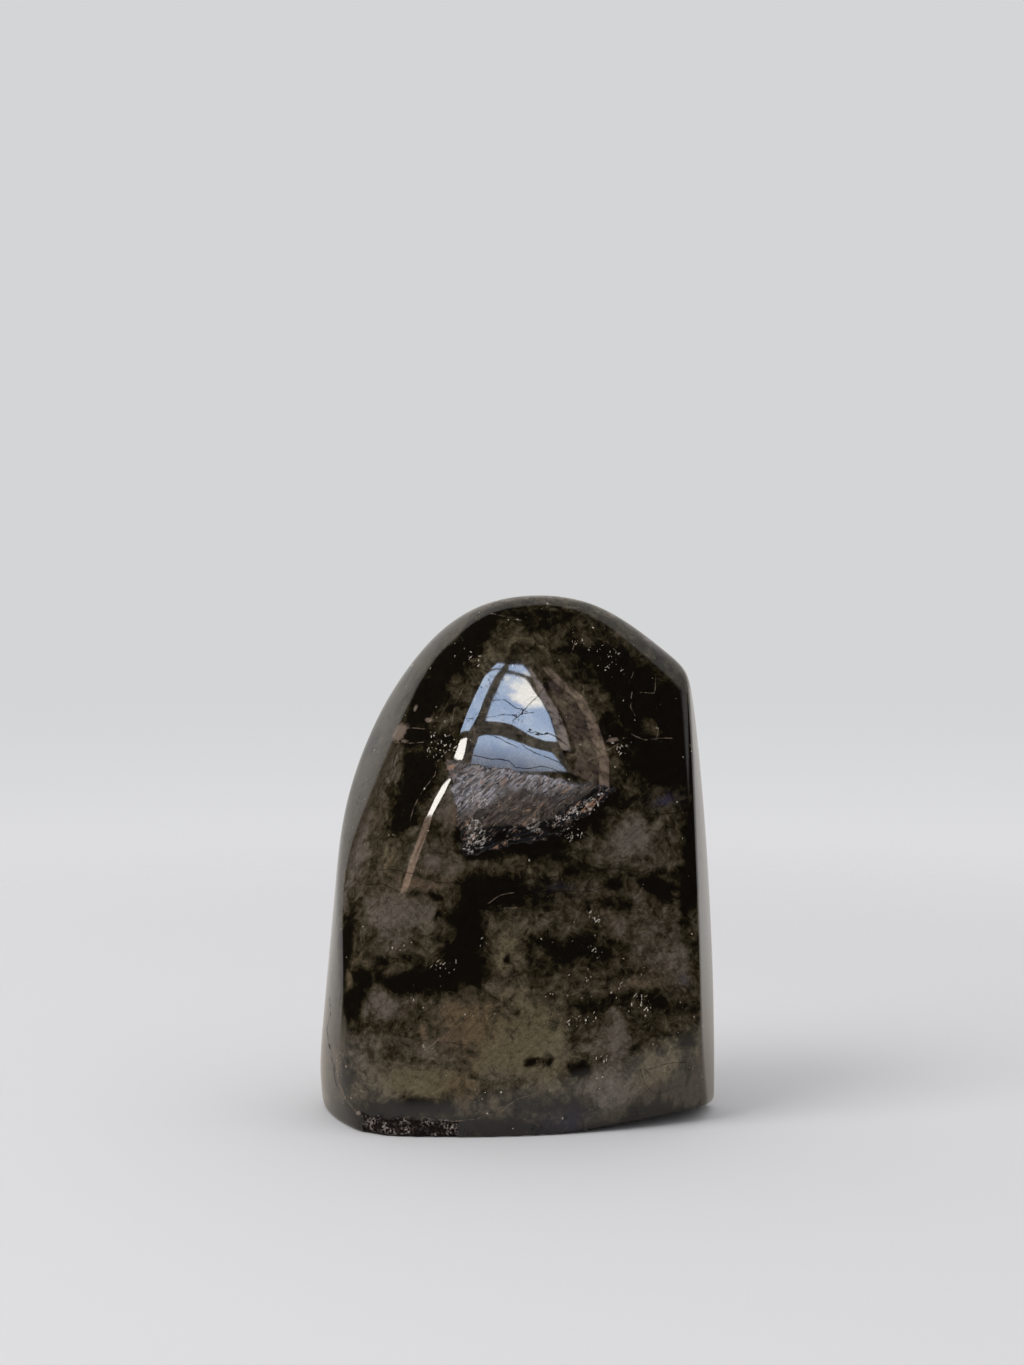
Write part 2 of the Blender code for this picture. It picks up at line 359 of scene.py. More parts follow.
def wrapped_grid():
    """Six grids of quads folded round the core, evenly spaced in angle."""
    mesh = bmesh.new()
    bmesh.ops.create_cube(mesh, size=2)
    bmesh.ops.subdivide_edges(mesh, edges=mesh.edges, cuts=GRID - 1, use_grid_fill=True)
    for vertex in mesh.verts:
        vertex.co = Vector(tan(pi / 4 * c) for c in vertex.co) + Vector(CORE)
    return mesh


def halve(mesh, longest, chosen):
    """Halves the edges longer than this whose two ends are both chosen."""
    long_edges = [
        edge
        for edge in mesh.edges
        if edge.calc_length() > longest and all(chosen(vertex.co) for vertex in edge.verts)
    ]
    bmesh.ops.subdivide_edges(mesh, edges=long_edges, cuts=1, use_grid_fill=True)


def on_front(co):
    """Whether a place is on the side that gets the fine mesh."""
    return co.y < FRONT_ENDS


def on_unpolished(co):
    """Whether a place is on or beside the scar or the foot patch."""
    xs, zs = zip(*SCAR)
    across, up = (min(xs) - MARGIN, max(xs) + MARGIN), (min(zs) - MARGIN, max(zs) + MARGIN)
    on_scar = across[0] < co.x < across[1] and up[0] < co.z < up[1]
    left, right, top = FOOT_PATCH[0][0], FOOT_PATCH[2][0], FOOT_PATCH[0][1]
    on_foot = left - MARGIN < co.x < right + MARGIN and co.z < top + MARGIN
    return co.y < UNPOLISHED_ENDS and (on_scar or on_foot)


def ellipses(marks, px, py):
    """The strength of the strongest mark at each point: full in its middle, half on its edge, 0 far off."""
    most = np.zeros(px.shape)
    for x, y, half_length, half_width, climb, strength in marks:
        c, s = cos(radians(climb)), sin(radians(climb))
        along = ((px - x) * c - (py - y) * s) / half_length
        across = ((px - x) * s + (py - y) * c) / half_width
        most = np.maximum(most, strength / (1 + (along**2 + across**2) ** 1.5))
    return most


def lines(paths, px, py):
    """Pixels to the nearest line, with a sign that changes across it and without one."""
    nearest, side = np.full(px.shape, np.inf), np.zeros(px.shape)
    for path in paths:
        for (x0, y0), (x1, y1) in zip(path, path[1:]):
            length = np.hypot(x1 - x0, y1 - y0)
            ux, uy = (x1 - x0) / length, (y1 - y0) / length
            along = np.clip((px - x0) * ux + (py - y0) * uy, 0, length)
            distance = np.hypot(px - x0 - along * ux, py - y0 - along * uy)
            off = (px - x0) * uy - (py - y0) * ux
            closer = distance < nearest
            nearest = np.where(closer, distance, nearest)
            side = np.where(closer, off, side)
    return np.clip(side, -FAR_OFF, FAR_OFF), np.clip(nearest, 0, FAR_OFF)


def drift(points, pitch, seed):
    """Like waver, in a part of the random field chosen by the seed, with finer hills on the coarse ones."""
    shift = Vector(FIELD_STEP) * seed
    return np.array([noise.fractal(Vector(p) / pitch + shift, 1.0, 2.0, 3) for p in points])


def marked(points):
    """The named values that the material reads at each vertex."""
    px, py = seen_at(points)
    shift_x = WANDER * drift(points, WANDER_PITCH, 1) + SHIVER * drift(points, SHIVER_PITCH, 2)
    shift_y = WANDER * drift(points, WANDER_PITCH, 3) + SHIVER * drift(points, SHIVER_PITCH, 4)
    wx, wy = px + shift_x, py + shift_y
    lx, ly = px + LINE_WANDER * shift_x, py + LINE_WANDER * shift_y
    x, y, z = points.T
    front = ramp((MARKS_END - y) / MARKS_BLEND)
    back = 1 - front
    on_side, elsewhere = (
        np.max([beyond(points, face) for face in FACES if (face[0] in SIDES) is chosen], axis=0)
        for chosen in (True, False)
    )
    side = ramp((on_side - elsewhere) / SIDE_BLEND + SIDE_START)

    def both(marks, pitch, seed, mean, swing):
        """The marks on the front, and clouds of the same kind on the rest of the stone."""
        scattered = np.clip(mean + swing * drift(points, pitch, seed), 0, 1)
        return front * ellipses(marks, wx, wy) + back * scattered

    crack_side, crack_near = lines(PALE_CRACKS, lx, ly)
    vein_side, vein_near = lines(DARK_VEINS, lx, ly)
    in_foot = within(FOOT_PATCH, x, z) + FOOT_PATCH_WAVER * waver(points, FOOT_PATCH_PITCH)
    in_scar = np.clip(within(SCAR, x, z), -SCAR_REACH, SCAR_REACH)
    clouds = {name: both(*kind) for name, *kind in CLOUDS}
    return clouds | {
        "chip": front * ellipses(CHIPS, lx, ly),
        "scar_in": np.where(y < 0, in_scar, -SCAR_REACH),
        "scar_lit": ellipses(SCAR_LIT, wx, wy),
        "foot": ramp(in_foot / SCAR_LIP) * (y < 0),
        "side": side,
        "crack_side": crack_side,
        "crack_near": crack_near + FAR_OFF * back,
        "vein_side": vein_side,
        "vein_near": vein_near + FAR_OFF * back,
    }


def stone():
    """The stone as one closed fine mesh that fills the CAD part's box, with its marks."""
    mesh = wrapped_grid()
    place(mesh)
    halve(mesh, FINE, on_front)
    halve(mesh, FINEST, on_unpolished)
    place(mesh)
    bmesh.ops.recalc_face_normals(mesh, faces=mesh.faces[:])
    points = np.array([vertex.co[:] for vertex in mesh.verts])
    for face in mesh.faces:
        face.smooth = True
    data = bpy.data.meshes.new("stone")
    mesh.to_mesh(data)
    mesh.free()
    for name, values in marked(points).items():
        data.attributes.new(name, "FLOAT", "POINT").data.foreach_set("value", values.astype(np.float32))
    foot, scale = fitted(points)
    data.vertices.foreach_set("co", ((points - foot) * scale).astype(np.float32).ravel())
    return data, foot, scale


def fitted(points):
    """What to take from a drawn point and multiply it by, so that the stone fills the CAD part's box."""
    low, high = points.min(axis=0), points.max(axis=0)
    box_low, box_high = (np.array(corner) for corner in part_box(NODE))
    scale = ((box_high - box_low) / (high - low)).min()
    foot = np.array(((low[0] + high[0]) / 2, (low[1] + high[1]) / 2, low[2]))
    return foot, scale


class Graph:
    """Makes the nodes of one material, joined as they are made."""

    def __init__(self, tree):
        self.tree = tree

    def node(self, kind, settings=None, **inputs):
        """A node with these settings, and these values or sockets on its inputs."""
        made = self.tree.nodes.new(kind)
        for name, value in (settings or {}).items():
            setattr(made, name, value)
        for name, value in inputs.items():
            self.put(value, made.inputs[name.replace("_", " ")])
        return made

    def put(self, value, socket):
        """Joins an output to an input, or gives the input a plain value."""
        if isinstance(value, bpy.types.NodeSocket):
            self.tree.links.new(value, socket)
        else:
            socket.default_value = value

    def maths(self, operation, *values):
        made = self.tree.nodes.new("ShaderNodeMath")
        made.operation = operation
        for value, socket in zip(values, made.inputs):
            self.put(value, socket)
        return made.outputs[0]

    def vector(self, operation, *values):
        made = self.tree.nodes.new("ShaderNodeVectorMath")
        made.operation = operation
        for value, socket in zip(values, made.inputs):
            self.put(value, socket)
        return made.outputs[0]

    def scaled(self, vector, by):
        made = self.tree.nodes.new("ShaderNodeVectorMath")
        made.operation = "SCALE"
        self.put(vector, made.inputs[0])
        self.put(by, made.inputs["Scale"])
        return made.outputs[0]

    def noise(self, where, pitch, detail=3.0, roughness=0.5, distortion=0.0):
        """Cloudy values about 0.5, with hills about this far apart."""
        made = self.node("ShaderNodeTexNoise", Vector=where, Scale=1 / pitch, Detail=detail,
                         Roughness=roughness, Distortion=distortion)
        return made.outputs["Fac"]

    def about(self, value, swing):
        """A cloudy value made to swing this much, about 0."""
        return self.maths("MULTIPLY_ADD", value, swing, -swing / 2)

    def stretched(self, where, by, turned=0.0):
        """Coordinates in which things lie stretched by this much each way, turned this far round y."""
        return self.node("ShaderNodeMapping", {"vector_type": "TEXTURE"}, Vector=where,
                         Rotation=(0, radians(turned), 0), Scale=by).outputs[0]

    def step(self, value, low, high):
        """0 below low and 1 above high, smooth between them."""
        made = self.node("ShaderNodeMapRange", {"interpolation_type": "SMOOTHSTEP"}, Value=value,
                         From_Min=low, From_Max=high)
        return made.outputs[0]

    def mix(self, share, a, b):
        """The first colour where the share is 0 and the second where it is 1."""
        made = self.tree.nodes.new("ShaderNodeMix")
        made.data_type = "RGBA"
        self.put(share, made.inputs[0])
        self.put(a, made.inputs[6])
        self.put(b, made.inputs[7])
        return made.outputs[2]

    def dot(self, vector, constant):
        """How far a vector goes along a constant one."""
        made = self.node("ShaderNodeVectorMath", {"operation": "DOT_PRODUCT"})
        self.put(vector, made.inputs[0])
        self.put(Vector(constant), made.inputs[1])
        return made.outputs["Value"]

    def mark(self, name):
        """The value that the mesh carries under this name."""
        return self.node("ShaderNodeAttribute", {"attribute_name": name}).outputs["Fac"]


def linear(*shown):
    """A colour given by the red, green and blue that show on a screen, 0 to 255."""
    return (*(((c / 255 + 0.055) / 1.055) ** 2.4 if c > 10 else c / 255 / 12.92 for c in shown), 1)


# The colours of the polished stone, from its blackest clouds to the brightest painted glints.
INK = linear(18, 14, 10)
DARK_OLIVE = linear(42, 36, 22)
DULL_OLIVE = linear(66, 59, 46)
OLIVE_CLOUD = linear(105, 97, 75)
GREY_CLOUD = linear(101, 93, 84)
BROWN_CLOUD = linear(98, 75, 52)
SIDE_CLOUD = linear(56, 47, 41)
CROWN_TONE = linear(120, 109, 99)
GRAIN = linear(22, 18, 13)
FIBRE = linear(24, 20, 14)
# painted sheen: the blue flash of labradorescence, put into the colour
BLUE_FLASH = linear(70, 70, 104)
VEIN = linear(16, 12, 9)
HAIRLINE = linear(16, 12, 10)
PALE_CRACK = linear(150, 132, 116)
CHIP = linear(150, 132, 118)
SPOT = linear(150, 132, 108)
# painted highlights: glints where light would catch the cleavage, put into the colour
SMALL_GLINT = linear(225, 214, 196)
GLINT = linear(250, 240, 224)

# The colours of the scar and of the strip along the foot; on the scar, a painted reflection of the window,
# painted highlights on the ledge edges and painted glints on the shards.
SCAR_BROWN = linear(64, 56, 50)
SCAR_GREY = linear(108, 97, 89)
SCAR_WINDOW_REFLECTION = linear(192, 188, 194)
SCAR_BLACK = linear(19, 15, 12)
SCAR_SEAM = linear(22, 17, 14)
LEDGE_HIGHLIGHT = linear(190, 168, 152)
LEDGE_TAN = linear(176, 138, 112)
SHARD_GLINT = linear(250, 240, 230)
FOOT_DARK = linear(36, 30, 27)
FOOT_DULL = linear(74, 64, 60)
FOOT_PALE = linear(200, 186, 176)

REFRACTION = 1.56
POLISH = 0.035         # the roughness of the polished faces
UNPOLISHED = 0.45      # how much rougher the foot strip is
SCAR_ROUGH = 0.55      # the share of that by which the scar is
MATT = 1.7             # how fast the gloss goes with the roughness
SHEEN_KEPT = 0.35      # the gloss that the brightest part of the scar keeps
LEDGE_BUMP = 0.26      # how high the fine ledges stand, in millimetres
CRUMB_BUMP = 0.3       # and the crumbs of the foot strip
CROWN_X = (-12, 4)     # the smoky faces turn to the colour of the crown over these two stretches
CROWN_Z = (40, 58)


def labradorite():
    """The stone: clouds, veins and cracks under the polish, painted glints, sheen and foot shade, the scar,
    the foot strip.
    """
    material = bpy.data.materials.new("labradorite")
    material.use_nodes = True
    g = Graph(material.node_tree)
    shader = g.tree.nodes["Principled BSDF"]
    where = g.scaled(g.node("ShaderNodeTexCoord").outputs["Object"], 1 / MM)
    fine = g.noise(where, 3.2, 8, 0.62, 0.9)
    finest = g.noise(where, 0.8, 5, 0.7)

    body, crack = polished(g, where, fine, finest)
    foot = g.mark("foot")
    ragged = g.maths("ADD", g.about(fine, 2.4), g.about(finest, 1.2))
    scar = g.step(g.maths("ADD", g.mark("scar_in"), ragged), -0.6, -0.35)
    broken, ledges = unpolished(g, where, finest)
    body = g.mix(scar, body, broken)
    crumbs = g.step(g.noise(where, 0.4, 4, 0.75), 0.48, 0.56)
    clump = g.step(g.noise(where, 1.8, 3, 0.6), 0.46, 0.6)
    patch = g.mix(clump, FOOT_DULL, FOOT_PALE)
    body = g.mix(foot, body, g.mix(crumbs, FOOT_DARK, patch))

    rough = g.maths("MAXIMUM", g.maths("MULTIPLY", scar, SCAR_ROUGH), foot)
    g.put(body, shader.inputs["Base Color"])
    g.put(g.maths("MULTIPLY_ADD", rough, UNPOLISHED, POLISH), shader.inputs["Roughness"])
    shader.inputs["IOR"].default_value = REFRACTION
    sheen = g.maths("MULTIPLY", g.maths("MULTIPLY", g.mark("scar_lit"), scar), SHEEN_KEPT)
    matt = g.maths("MAXIMUM", g.maths("SUBTRACT", g.maths("MULTIPLY", rough, MATT), sheen), crack)
    matt = g.maths("MAXIMUM", matt, g.maths("MULTIPLY", scar, g.mark("black")))
    gloss = g.maths("MAXIMUM", g.maths("MULTIPLY_ADD", matt, -0.5, 0.5), 0.0)
    g.put(gloss, shader.inputs["Specular IOR Level"])
    relief = g.maths("ADD", g.maths("MULTIPLY", scar, g.maths("MULTIPLY", ledges, LEDGE_BUMP)),
                     g.maths("MULTIPLY", foot, g.maths("MULTIPLY", crumbs, CRUMB_BUMP)))
    bump = g.node("ShaderNodeBump", Strength=1.0, Distance=MM, Height=relief)
    g.put(bump.outputs[0], shader.inputs["Normal"])
    return material


def unpolished(g, where, finest):
    """The scar's colour with tan ledges, painted ledge highlights, glints and window reflection; and its
    ledge height.
    """
    grain = g.noise(along_ledges(g, where, (2.6, 1.2, 1.1)), 1.0, 6, 0.6, 1.2)
    ledges = g.noise(along_ledges(g, where, (4.5, 1.5, 1.2)), 1.0, 4, 0.6, 1.5)
    body = g.mix(g.step(grain, 0.34, 0.64), SCAR_BROWN, SCAR_GREY)
    # A painted reflection of the window, in streaks, where the scar is lit.
    streak = g.step(g.noise(along_ledges(g, where, (1.5, 0.8, 0.32)), 1.0, 5, 0.72, 0.8), 0.47, 0.57)
    streak = g.maths("MULTIPLY_ADD", streak, 0.9, 0.1)
    body = g.mix(g.maths("MULTIPLY", g.step(g.mark("scar_lit"), 0.3, 1.0), streak), body, SCAR_WINDOW_REFLECTION)
    black = g.maths("ADD", g.mark("black"), g.maths("SUBTRACT", grain, 0.5))
    body = g.mix(g.step(black, 0.2, 0.5), body, SCAR_BLACK)
    seam = g.maths("ABSOLUTE", g.maths("SUBTRACT", ledges, 0.47))
    body = g.mix(g.maths("MULTIPLY", g.step(seam, 0.02, 0.006), 0.9), body, SCAR_SEAM)
    # Painted highlights along the white edges of the ledges.
    edge = g.maths("ABSOLUTE", g.maths("SUBTRACT", ledges, 0.53))
    edge = g.maths("MULTIPLY", g.step(edge, 0.014, 0.005), g.step(finest, 0.48, 0.58))
    body = g.mix(g.maths("MULTIPLY", edge, 0.8), body, LEDGE_HIGHLIGHT)
    body = g.mix(g.maths("MULTIPLY", g.step(ledges, 0.6, 0.62), 0.75), body, LEDGE_TAN)
    # Painted glints on the shards.
    shard = g.noise(along_ledges(g, where, (1.8, 0.8, 0.5)), 1.0, 3, 0.6, 1.4)
    shard = g.step(g.maths("ABSOLUTE", g.maths("SUBTRACT", shard, 0.52)), 0.035, 0.015)
    bright = g.maths("MULTIPLY", g.maths("MULTIPLY", shard, g.mark("glint")), g.step(finest, 0.42, 0.56))
    return g.mix(g.step(bright, 0.5, 0.8), body, SHARD_GLINT), ledges


def polished(g, where, fine, finest):
    """Cloud and vein colours with painted glints, blue sheen and foot shade, and where cracks break the
    polish.
    """
    moss = g.noise(where, 1.6, 8, 0.72, 1.2)
    wander = g.maths("ADD", g.about(fine, 1.1), g.maths("MULTIPLY_ADD", moss, 1.3, -0.67))
    grey, olive, brown, side = g.mark("grey"), g.mark("olive"), g.mark("brown"), g.mark("side")
    clouds = g.maths("MAXIMUM", g.maths("MAXIMUM", grey, olive), brown)
    tone = g.maths("ADD", g.maths("MULTIPLY_ADD", clouds, 0.5, 0.44), wander)
    smoke = g.noise(g.stretched(where, (1.4, 1.4, 9.0), 8), 1.0, 5, 0.6, 0.4)
    smoky = g.maths("ADD", g.maths("MULTIPLY_ADD", smoke, 1.5, -0.1), g.about(moss, 0.4))
    tone = g.maths("MULTIPLY", tone, g.maths("SUBTRACT", 1.0, side))
    tone = g.maths("ADD", tone, g.maths("MULTIPLY", smoky, side))
    # The black marks darken the tone: the stone's black clouds, and painted shade along the foot of the
    # stone.
    tone = g.maths("SUBTRACT", tone, g.maths("MULTIPLY", g.mark("black"), 0.7))

    hue = g.mix(share(g, grey, olive), OLIVE_CLOUD, GREY_CLOUD)
    hue = g.mix(share(g, brown, clouds), hue, BROWN_CLOUD)
    spot = g.node("ShaderNodeSeparateXYZ", Vector=where)
    crown = g.maths("MULTIPLY", g.step(spot.outputs["X"], *CROWN_X), g.step(spot.outputs["Z"], *CROWN_Z))
    edge_hue = g.mix(crown, SIDE_CLOUD, CROWN_TONE)
    hue = g.mix(g.maths("MULTIPLY", side, 0.85), hue, edge_hue)
    body = g.mix(g.step(tone, 0.18, 0.34), INK, DARK_OLIVE)
    body = g.mix(g.step(tone, 0.32, 0.52), body, DULL_OLIVE)
    body = g.mix(g.step(tone, 0.45, 0.8), body, hue)
    grains = g.step(g.noise(where, 0.35, 2, 0.6), 0.55, 0.7)
    body = g.mix(g.maths("MULTIPLY", grains, 0.35), body, GRAIN)

    mottle = g.noise(where, 0.9, 5, 0.7, 0.4)
    body = g.scaled(body, g.maths("MAXIMUM", g.maths("MULTIPLY_ADD", mottle, 2.25, 0.13), 0.5))

    fibre = g.noise(along_ledges(g, where, (5.0, 2.0, 0.45)), 1.0, 4, 0.6)
    body = g.mix(g.maths("MULTIPLY", g.step(fibre, 0.45, 0.8), 0.4), body, FIBRE)
    # A painted blue sheen: the flash of labradorescence put into the colour.
    body = g.mix(g.maths("MULTIPLY", g.mark("flash"), 0.6), body, BLUE_FLASH)

    vein = g.maths("MULTIPLY", line(g, "vein", 0.4, finest), g.step(moss, 0.36, 0.5))
    body = g.mix(g.maths("MULTIPLY", vein, 0.8), body, VEIN)
    crack = g.maths("MULTIPLY", line(g, "crack", 0.3, finest), g.step(moss, 0.42, 0.56))
    body = g.mix(g.maths("MULTIPLY", crack, 0.8), body, PALE_CRACK)
    chip = g.step(g.maths("ADD", g.mark("chip"), g.maths("SUBTRACT", finest, 0.5)), 0.4, 0.8)
    body = g.mix(g.maths("MULTIPLY", chip, 0.75), body, CHIP)

    # Painted glints: bright specks put into the colour where light would catch the cleavage.
    glint = g.mark("glint")
    few = g.maths("MULTIPLY", g.step(glint, 0.35, 1.1), 0.32)
    for strokes in (along_ledges(g, where, (2.8, 1.0, 0.4)), g.stretched(where, (0.45, 1.0, 1.8))):
        body = g.mix(specks(g, strokes, 0.4, 0.17, few), body, GLINT)
    body = g.mix(specks(g, where, 0.33, 0.12, g.maths("MULTIPLY_ADD", few, 0.8, 0.012)), body, SMALL_GLINT)
    body = g.mix(g.maths("MULTIPLY", specks(g, where, 0.75, 0.09, 0.12), 0.6), body, SPOT)
    hairs = hairlines(g, where)
    body = g.mix(g.maths("MULTIPLY", hairs, 0.5), body, HAIRLINE)
    return body, g.maths("MAXIMUM", g.maths("MULTIPLY", hairs, 0.7), g.maths("MAXIMUM", crack, vein))


def hairlines(g, where):
    """A broken net of hair-thin cracks."""
    bend = g.node("ShaderNodeTexNoise", Vector=where, Scale=0.5, Detail=4.0, Roughness=0.65)
    bend = g.scaled(bend.outputs["Color"], 5.0)
    bent = g.vector("ADD", where, bend)
    net = g.node("ShaderNodeTexVoronoi", {"feature": "DISTANCE_TO_EDGE"}, Vector=bent, Scale=1 / 5.5)
    thin = g.step(net.outputs["Distance"], 0.014, 0.004)
    return g.maths("MULTIPLY", thin, g.step(g.noise(where, 2.6, 2, 0.5), 0.5, 0.56))


def along_ledges(g, where, stretch):
    """Coordinates stretched this much along the cleavage, into the stone and across the cleavage."""
    return g.stretched(where, stretch, -STROKE_SLOPE)


def share(g, part, other):
    """How much of two strengths is the first one."""
    return g.maths("DIVIDE", part, g.maths("ADD", g.maths("ADD", part, other), 0.001))


def specks(g, where, apart, radius, kept):
    """Small ragged specks about this far apart in millimetres, of which this share is kept."""
    ragged = g.node("ShaderNodeTexNoise", Vector=where, Scale=3.0, Detail=2.0, Roughness=0.7)
    bent = g.vector("ADD", where, g.scaled(ragged.outputs["Color"], 0.6))
    cells = g.node("ShaderNodeTexVoronoi", Vector=bent, Scale=1 / apart)
    luck = g.node("ShaderNodeSeparateXYZ", Vector=cells.outputs["Color"])
    size = g.maths("MULTIPLY", luck.outputs["Y"], radius / apart)
    inside = g.step(g.maths("SUBTRACT", size, cells.outputs["Distance"]), -0.02, 0.02)
    return g.maths("MULTIPLY", inside, g.maths("LESS_THAN", luck.outputs["X"], kept))


def line(g, name, half_width, wander):
    """1 on the lines that the mesh carries under this name and 0 beside them."""
    width = g.maths("MULTIPLY", g.maths("MULTIPLY", wander, 2.0), half_width)
    on = g.maths("SUBTRACT", width, g.maths("ABSOLUTE", g.mark(name + "_side")))
    near = g.maths("SUBTRACT", half_width * 2 + 1.5, g.mark(name + "_near"))
    return g.maths("MULTIPLY", g.step(on, -0.3, 0.3), g.step(near, 0, 1))


def plain(name, colour, roughness):
    """A material of one colour."""
    material = bpy.data.materials.new(name)
    material.use_nodes = True
    shader = material.node_tree.nodes["Principled BSDF"]
    shader.inputs["Base Color"].default_value = colour
    shader.inputs["Roughness"].default_value = roughness
    return material


def flat(name, corners, material):
    """A staged flat piece from its corners, in metres."""
    data = bpy.data.meshes.new(name)
    data.from_pydata(corners, [], [range(len(corners))])
    data.materials.append(material)
    piece = bpy.data.objects.new(name, data)
    bpy.context.scene.collection.objects.link(piece)
    return piece


def glowing(name, colour, strength):
    """A material that glows and takes no light."""
    material = bpy.data.materials.new(name)
    material.use_nodes = True
    tree = material.node_tree
    tree.nodes.clear()
    glow = tree.nodes.new("ShaderNodeEmission")
    glow.inputs["Color"].default_value = colour
    glow.inputs["Strength"].default_value = strength
    tree.links.new(glow.outputs[0], tree.nodes.new("ShaderNodeOutputMaterial").inputs[0])
    return material


# The window that the front mirrors is a set of glowing pieces in one upright plane: the panes of sky, the
# brightest patches, the sash, the curtain, its lining, the bars, and a pale strip between sash and curtain.
# Each corner is given by the azimuth and elevation at which the stone sees it.
WINDOW_AWAY = 1.5      # metres from the stone to the plane, in front of it
SEEN_FROM = 0.05       # the height on the stone that the elevations are taken from, in metres
SKY = (
    ((-76.2, 49), (-78.1, 48.1), (-79.5, 47), (-81.8, 44.4), (-84.5, 41.8), (-88.4, 37.6), (-93.8, 34.7),
     (-98.4, 32.5), (-120, 33.6), (-113.2, 38.5), (-102.9, 42.8), (-91.4, 46.9), (-85.3, 48.9),
     (-80.7, 49.4)),
    ((-74.7, 48.2), (-71.7, 47.8), (-68.7, 47), (-67.8, 46.2), (-65.6, 42.5), (-65, 38.3), (-65.6, 33.5),
     (-66.3, 29.4), (-69.5, 29.3), (-72.6, 30.7), (-74.6, 32.6), (-77, 34.5), (-79.5, 35), (-83.4, 35),
     (-82.5, 37.6), (-80.1, 42.7), (-76.6, 47)),
    ((-86.5, 28.6), (-84.2, 29.5), (-80.6, 29.6), (-78.1, 28.4), (-75.5, 27.3), (-73.6, 26.2),
     (-70.9, 25.7), (-68.9, 25.1), (-67.4, 19.6), (-73.9, 18.5), (-82.7, 17.3), (-89.1, 18.2),
     (-88.7, 23.4)),
    ((-77.9, 50.5), (-74.7, 49.8), (-75.9, 49.2), (-80.8, 49.9)),
    ((-73, 49.5), (-68.8, 49.2), (-67.6, 48.3), (-66.7, 47.2), (-69.5, 47.9), (-73.7, 48.8)),
)
BRIGHT = (
    ((-113.5, 30.7), (-99.3, 30), (-97.3, 23.7), (-98.3, 21.4), (-116.3, 26.5)),
    ((-105, 19.1), (-110, 17.1), (-115.5, 16.4), (-127, 19.3), (-126, 20.8), (-118, 21.3)),
)
SASH = (
    ((-67.8, 48.5), (-66, 46.2), (-65.3, 42.5), (-64.6, 38.3), (-65.2, 33.5), (-66, 29.6), (-66, 27),
     (-63.5, 26.3), (-62, 33.7), (-61.8, 40.9), (-63.5, 45), (-66.5, 48.6)),
)
CURTAIN = (
    ((-63, 48.2), (-59.6, 45.3), (-55.3, 42.5), (-54.1, 37.2), (-55.3, 30.3), (-56, 24.9), (-60.4, 16.8),
     (-57.7, 16.8), (-52.6, 25.3), (-51.6, 30.4), (-50.9, 36.9), (-52.3, 42), (-56.5, 44.9), (-60.5, 48)),
)
LINING = (
    ((-113.5, 15.7), (-110, 12.6), (-109.5, 10.8), (-108, 8.2), (-117, 10.3), (-125, 15.2), (-126, 16.8),
     (-131, 20.1)),
)
BARS = (
    ((-121, 33), (-114, 38.6), (-103, 43), (-91.4, 47.2), (-80.7, 50.1), (-68.8, 49.6), (-65, 42.5),
     (-64.8, 38.3), (-65.4, 33.5), (-65.8, 27), (-66, 20), (-73.9, 18.3), (-82.7, 17.1), (-89.1, 18),
     (-97.5, 21), (-98.5, 30), (-98.6, 32.3)),
)
PALE = (
    ((-62, 46), (-61, 41), (-61, 34), (-62, 26), (-66, 19), (-60.6, 17.5), (-56, 25), (-55.3, 30.3),
     (-54.1, 37.2), (-56, 42.3), (-60, 45.5)),
)
BARS_BEHIND = 0.02     # metres from the panes to the bars that show between them
CLOUD = (-68.7, 44.1)  # the middle of the white cloud in the sky
CLOUD_RADIUS = 0.17
CLEAR_SKY = linear(160, 180, 212)
HAZY_SKY = linear(188, 204, 226)
LOW_SKY = linear(96, 104, 122)
CLOUD_WHITE = linear(255, 252, 246)
LOW_SKY_ENDS = (16, 29)  # the elevations between which the low sky clears
SKY_AZIMUTH = -80      # and the azimuth at which they are taken


def toward(azimuth, elevation):
    """The point of the window's plane that the stone sees in this direction."""
    aside = radians(azimuth + 90)
    above = WINDOW_AWAY * tan(radians(elevation)) / cos(aside)
    return Vector((WINDOW_AWAY * tan(aside), -WINDOW_AWAY, above + SEEN_FROM))


def sky(name, strength):
    """The sky through the window, blue with a white cloud in it."""
    material = glowing(name, CLEAR_SKY, strength)
    g = Graph(material.node_tree)
    where = g.node("ShaderNodeTexCoord").outputs["Object"]
    away = g.node("ShaderNodeVectorMath", {"operation": "DISTANCE"})
    g.put(where, away.inputs[0])
    g.put(toward(*CLOUD), away.inputs[1])
    billow = g.maths("MULTIPLY_ADD", g.noise(where, 0.16, 5, 0.6, 0.3), 0.5, -0.25)
    near = g.maths("SUBTRACT", CLOUD_RADIUS, g.maths("ADD", away.outputs["Value"], billow))
    wisps = g.step(g.noise(where, 0.3, 4, 0.6, 0.5), 0.4, 0.7)
    clear = g.mix(wisps, CLEAR_SKY, HAZY_SKY)
    clear = g.mix(g.step(near, -0.06, 0.08), clear, CLOUD_WHITE)
    low, high = (toward(SKY_AZIMUTH, elevation).z for elevation in LOW_SKY_ENDS)
    height = g.node("ShaderNodeSeparateXYZ", Vector=where).outputs["Z"]
    glow = g.tree.nodes["Emission"]
    g.put(g.mix(g.step(height, low, high), LOW_SKY, clear), glow.inputs["Color"])
    return material


def streaked(material, pitch):
    """Makes a glow uneven, brighter and dimmer at this pitch in metres."""
    g = Graph(material.node_tree)
    strength = g.tree.nodes["Emission"].inputs["Strength"]
    cloudy = g.noise(g.node("ShaderNodeTexCoord").outputs["Object"], pitch, 4, 0.6, 0.5)
    g.put(g.maths("MULTIPLY", g.step(cloudy, 0.3, 0.6), strength.default_value * 1.3), strength)
    return material


